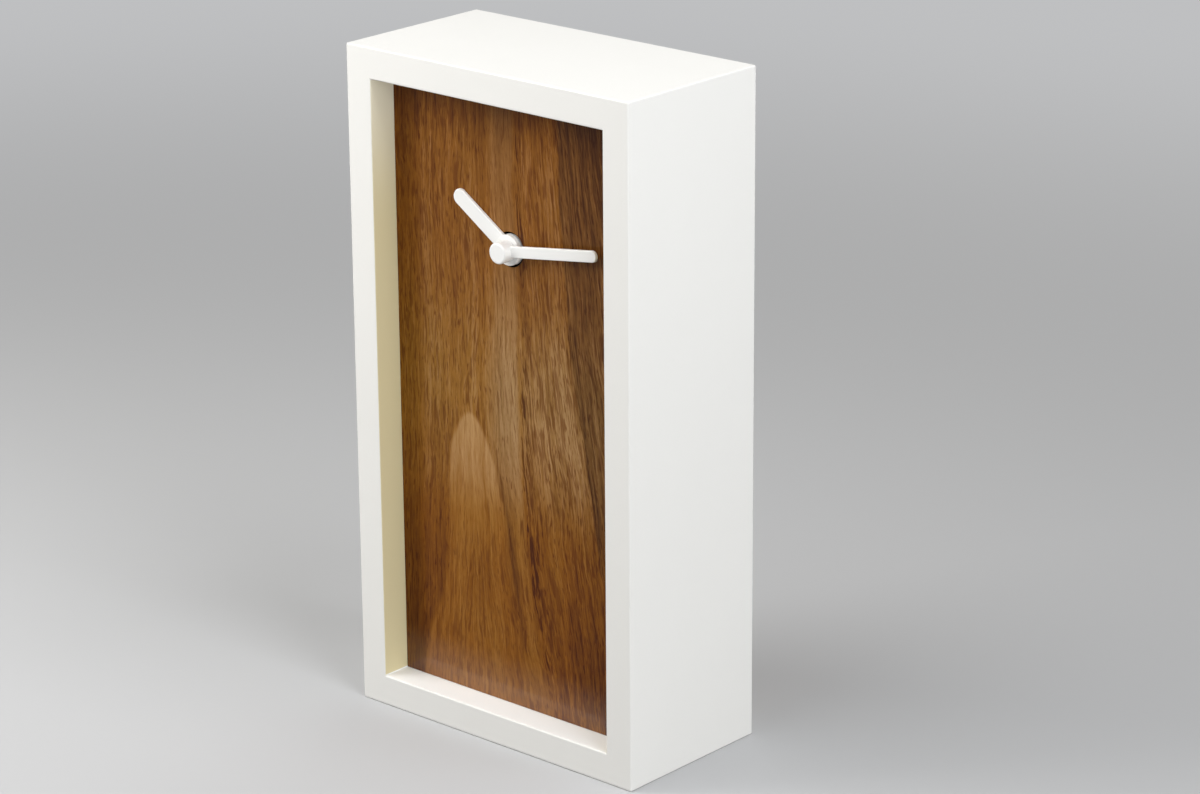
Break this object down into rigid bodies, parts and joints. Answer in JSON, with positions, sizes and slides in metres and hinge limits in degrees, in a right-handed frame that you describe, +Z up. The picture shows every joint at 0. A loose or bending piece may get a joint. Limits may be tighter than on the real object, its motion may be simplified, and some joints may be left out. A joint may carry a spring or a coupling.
{
  "type": "desk clock",
  "caption": "Desk clock: an open-backed white box with mitred corners, a set-back walnut dial, two white hands and a battery quartz movement.",
  "frame": {"origin": "middle of the footprint, on the surface that the clock stands on", "axes": "+X right and +Z up as one faces the dial, +Y from the dial to the open back"},
  "size_m": [0.137, 0.07, 0.26],
  "materials": {
    "white_solid_surface": "white acrylic solid surface, fine sanded to a satin sheen, small arrises",
    "walnut": "straight-grained walnut veneer on board, satin lacquer, grain upright",
    "raw_wood": "planed hardwood, unfinished",
    "white_hand": "white satin lacquer",
    "black_metal": "brass, blackened",
    "rubber": "black sheet rubber",
    "black_plastic": "moulded black plastic, finely spark-eroded",
    "white_plastic": "moulded natural white acetal",
    "clear_brown_plastic": "moulded natural nylon",
    "brass": "turned brass",
    "steel": "zinc-plated steel",
    "spring_steel": "nickel-plated spring strip",
    "magnet": "sintered ferrite",
    "soft_iron": "punched soft iron sheet, annealed",
    "copper": "enamelled copper wire",
    "circuit_board": "green solder mask",
    "black_resin": "black potting resin",
    "battery_can": "nickel-plated can",
    "battery_sleeve": "plain printed shrink sleeve, no lettering"
  },
  "bodies": {
    "case": {"case_top": "white_solid_surface", "case_bottom": "white_solid_surface", "case_left": "white_solid_surface", "case_right": "white_solid_surface", "walnut_dial": "walnut", "dial_batten_left": "raw_wood", "dial_batten_right": "raw_wood", "threaded_bushing": "black_metal", "bushing_nut": "black_metal", "nut_washer": "black_metal", "dial_gasket": "rubber", "movement_tray": "black_plastic", "movement_cover": "black_plastic", "pillar_plate": "clear_brown_plastic", "train_bridge": "clear_brown_plastic", "bridge_screws": "steel", "stator": "soft_iron", "coil_core": "soft_iron", "coil_bobbin": "clear_brown_plastic", "coil_winding": "copper", "circuit_board": "circuit_board", "timing_chip": "black_resin", "quartz_crystal": "steel", "positive_contact": "spring_steel", "negative_contact": "spring_steel"},
    "minute_hand": {"minute_hand": "white_hand", "cannon_pinion": "brass", "clutch_spring": "spring_steel"},
    "hour_hand": {"hour_hand": "white_hand", "hour_wheel": "white_plastic"},
    "setting_knob": {"setting_knob": "black_plastic", "motion_wheel": "white_plastic"},
    "rotor": {"rotor_pinion": "white_plastic", "rotor_magnet": "magnet"},
    "intermediate_wheel": {"intermediate_wheel": "white_plastic"},
    "second_wheel": {"second_wheel": "white_plastic"},
    "third_wheel": {"third_wheel": "white_plastic"},
    "centre_wheel": {"centre_wheel": "brass"},
    "battery": {"battery_can": "battery_can", "battery_sleeve": "battery_sleeve", "battery_terminal": "steel"}
  },
  "joints": [
    {"name": "minute_hand_turn", "type": "hinge", "parent": "case", "child": "minute_hand", "pos_m": [0.0011, 0, 0.1915], "axis": [0, 1, 0], "continuous": true},
    {"name": "hour_hand_turn", "type": "hinge", "parent": "case", "child": "hour_hand", "pos_m": [0.0011, 0, 0.1915], "axis": [0, 1, 0], "continuous": true},
    {"name": "setting_knob_turn", "type": "hinge", "parent": "case", "child": "setting_knob", "pos_m": [-0.00929, 0, 0.1975], "axis": [0, 1, 0], "continuous": true},
    {"name": "second_wheel_turn", "type": "hinge", "parent": "case", "child": "second_wheel", "pos_m": [0.0011, 0, 0.1915], "axis": [0, 1, 0], "continuous": true},
    {"name": "rotor_turn", "type": "hinge", "parent": "case", "child": "rotor", "pos_m": [-0.00123, 0, 0.20822], "axis": [0, 1, 0], "continuous": true},
    {"name": "intermediate_wheel_turn", "type": "hinge", "parent": "case", "child": "intermediate_wheel", "pos_m": [-0.00062, 0, 0.20125], "axis": [0, 1, 0], "continuous": true},
    {"name": "third_wheel_turn", "type": "hinge", "parent": "case", "child": "third_wheel", "pos_m": [0.00933, 0, 0.19625], "axis": [0, 1, 0], "continuous": true},
    {"name": "centre_wheel_turn", "type": "hinge", "parent": "case", "child": "centre_wheel", "pos_m": [0.0011, 0, 0.1915], "axis": [0, 1, 0], "continuous": true},
    {"name": "battery_slide", "type": "slide", "parent": "case", "child": "battery", "axis": [0, 1, 0], "range_m": [0, 0.03]}
  ],
  "couplings": [
    {"joint": "setting_knob_turn", "follows": "minute_hand_turn", "ratio": -0.33333},
    {"joint": "hour_hand_turn", "follows": "minute_hand_turn", "ratio": 0.083333},
    {"joint": "rotor_turn", "follows": "second_wheel_turn", "ratio": 30},
    {"joint": "intermediate_wheel_turn", "follows": "second_wheel_turn", "ratio": -5},
    {"joint": "third_wheel_turn", "follows": "second_wheel_turn", "ratio": -0.13333},
    {"joint": "centre_wheel_turn", "follows": "second_wheel_turn", "ratio": 0.016667}
  ]
}
